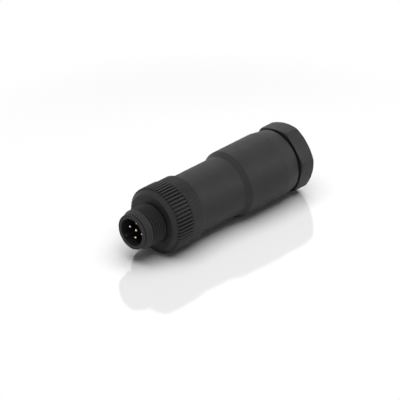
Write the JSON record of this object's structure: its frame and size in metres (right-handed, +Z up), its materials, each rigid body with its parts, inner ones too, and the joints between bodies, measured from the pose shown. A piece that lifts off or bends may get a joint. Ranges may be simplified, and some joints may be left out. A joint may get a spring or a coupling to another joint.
{
  "type": "m12 circular connector",
  "caption": "Straight round cable connector with pins in a keyed shroud, a free threaded coupling ring, a stepped housing and a six-sided cable gland.",
  "frame": {"origin": "on the connector's axis, in the plane of the coupling ring's front face, which stops against the mating socket", "axes": "+X along the axis towards the cable entry, +Z up as the connector lies, pins point to -X"},
  "size_m": [0.0638, 0.02, 0.02],
  "materials": {
    "black_plastic": "fine matte moulded surface",
    "insert_plastic": "matte moulded",
    "cage_plastic": "smooth moulded",
    "seal_rubber": "soft matte",
    "gold_contact": "thin gold plating, polished",
    "spring_steel": "bright spring steel",
    "zinc_steel": "zinc plated"
  },
  "bodies": {
    "carrier": {"contact_carrier": "black_plastic", "contact_insert": "insert_plastic", "housing_seal": "seal_rubber", "pin_1": "gold_contact", "pin_2": "gold_contact", "pin_3": "gold_contact", "pin_4": "gold_contact", "pin_5": "gold_contact", "clamp_screw_1": "zinc_steel", "clamp_screw_2": "zinc_steel", "clamp_screw_3": "zinc_steel", "clamp_screw_4": "zinc_steel", "clamp_screw_5": "zinc_steel"},
    "coupling": {"coupling_ring": "black_plastic", "snap_ring": "spring_steel"},
    "cable_grip": {"clamping_cage": "cage_plastic", "cable_seal": "seal_rubber"},
    "housing": {"housing_sleeve": "black_plastic"},
    "washer": {"thrust_washer": "cage_plastic"},
    "gland": {"gland_nut": "black_plastic"}
  },
  "joints": [
    {"name": "coupling_spin", "type": "hinge", "parent": "carrier", "child": "coupling", "pos_m": [0, 0, 0], "axis": [1, 0, 0], "continuous": true},
    {"name": "housing_travel", "type": "slide", "parent": "carrier", "child": "cable_grip", "axis": [1, 0, 0], "range_m": [0, 0.005]},
    {"name": "housing_turn", "type": "hinge", "parent": "cable_grip", "child": "housing", "pos_m": [0.03, 0, 0], "axis": [1, 0, 0], "range_deg": [0, 1800]},
    {"name": "gland_travel", "type": "slide", "parent": "housing", "child": "washer", "axis": [1, 0, 0], "range_m": [0, 0.0045]},
    {"name": "gland_turn", "type": "hinge", "parent": "washer", "child": "gland", "pos_m": [0.05, 0, 0], "axis": [1, 0, 0], "range_deg": [0, 1080]}
  ],
  "couplings": [
    {"joint": "housing_travel", "follows": "housing_turn", "m_per_rad": 0.00015915},
    {"joint": "gland_travel", "follows": "gland_turn", "m_per_rad": 0.00023873}
  ]
}
